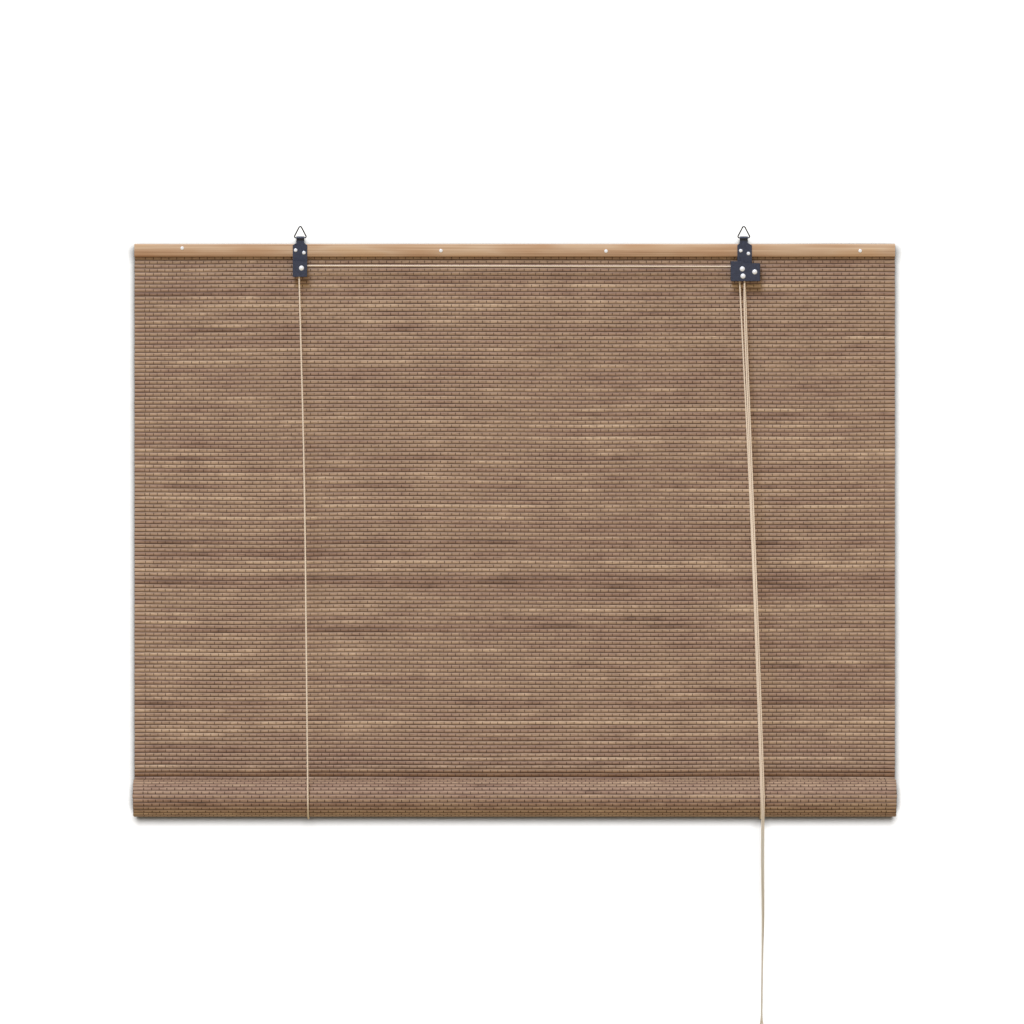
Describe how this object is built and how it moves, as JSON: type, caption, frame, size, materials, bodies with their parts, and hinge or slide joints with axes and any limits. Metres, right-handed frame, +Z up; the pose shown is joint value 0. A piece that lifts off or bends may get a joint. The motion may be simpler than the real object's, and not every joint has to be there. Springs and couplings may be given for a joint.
{
  "type": "bamboo roll-up blind",
  "caption": "Woven bamboo window blind clamped between battens, hung by wire rings, partly rolled up on cord slings that run over rollers to a cam cord lock and pull cords.",
  "frame": {"origin": "mid-width of the blind, in the wall plane at the back of the rear batten, at the height where the wall hooks bear in the rings", "axes": "+X along the battens to the viewer's right, +Y into the wall, +Z up"},
  "size_m": [1, 0.0712, 1.1188],
  "materials": {
    "woven_bamboo": "stained split bamboo, satin",
    "bamboo_lath": "pale bamboo lath, satin",
    "painted_steel": "blue-black paint, satin",
    "bright_steel": "bright plated",
    "ring_wire": "dull grey wire",
    "roller_plastic": "white plastic",
    "cam_brass": "cast brass",
    "cotton_cord": "braided cream cord"
  },
  "bodies": {
    "head": {"front_batten": "bamboo_lath", "rear_batten": "bamboo_lath", "batten_nails": "bright_steel", "hanging_mat": "woven_bamboo", "left_bracket": "painted_steel", "left_bracket_nails": "bright_steel", "left_axle": "bright_steel", "lock_bracket": "painted_steel", "lock_bracket_nails": "bright_steel", "guide_axle": "bright_steel", "anvil_pin": "bright_steel", "cam_pin": "bright_steel", "left_cross_cord": "cotton_cord", "left_front_cord": "cotton_cord", "left_back_cord": "cotton_cord", "left_pull_upper": "cotton_cord", "right_lock_cord": "cotton_cord", "right_front_cord": "cotton_cord", "right_back_cord": "cotton_cord", "right_pull_upper": "cotton_cord"},
    "left_hook_ring": {"left_ring": "ring_wire"},
    "right_hook_ring": {"right_ring": "ring_wire"},
    "left_cord_roller": {"left_roller": "roller_plastic"},
    "guide_cord_roller": {"guide_roller": "roller_plastic"},
    "cam": {"lock_cam": "cam_brass"},
    "carriage": {"left_sling": "cotton_cord", "right_sling": "cotton_cord"},
    "roll": {"rolled_mat": "woven_bamboo", "bottom_rod": "bamboo_lath"},
    "pull_cord": {"left_pull_lower": "cotton_cord", "right_pull_lower": "cotton_cord", "pull_cord_hank": "cotton_cord", "hank_tie": "cotton_cord", "pull_cord_knot": "cotton_cord"}
  },
  "joints": [
    {"name": "left_ring_swing", "type": "hinge", "parent": "head", "child": "left_hook_ring", "pos_m": [-0.2818, -0.0127, -0.0139], "axis": [1, 0, 0], "range_deg": [-90, 90]},
    {"name": "right_ring_swing", "type": "hinge", "parent": "head", "child": "right_hook_ring", "pos_m": [0.301, -0.0127, -0.0139], "axis": [1, 0, 0], "range_deg": [-90, 90]},
    {"name": "left_roller_spin", "type": "hinge", "parent": "head", "child": "left_cord_roller", "pos_m": [-0.28, -0.0152, -0.0539], "axis": [0, 1, 0], "continuous": true},
    {"name": "guide_roller_spin", "type": "hinge", "parent": "head", "child": "guide_cord_roller", "pos_m": [0.2988, -0.0152, -0.055], "axis": [0, 1, 0], "continuous": true},
    {"name": "cam_pivot", "type": "hinge", "parent": "head", "child": "cam", "pos_m": [0.3151, -0.0152, -0.0589], "axis": [0, -1, 0], "range_deg": [0, 30]},
    {"name": "blind_lift", "type": "slide", "parent": "head", "child": "carriage", "axis": [0, 0, 1], "range_m": [0, 0.63], "deforming": ["hanging_mat", "left_front_cord", "right_front_cord", "left_back_cord", "right_back_cord", "left_pull_upper", "right_pull_upper"]},
    {"name": "roll_turn", "type": "hinge", "parent": "carriage", "child": "roll", "pos_m": [0, -0.0302, -0.7488], "axis": [-1, 0, 0], "range_deg": [0, 1455]},
    {"name": "pull_draw", "type": "slide", "parent": "carriage", "child": "pull_cord", "axis": [0, 0, -1], "range_m": [0, 1.89], "deforming": ["left_pull_lower", "right_pull_lower"]}
  ],
  "couplings": [
    {"joint": "roll_turn", "follows": "blind_lift", "rad_per_m": 40.3},
    {"joint": "pull_draw", "follows": "blind_lift", "ratio": 3}
  ]
}
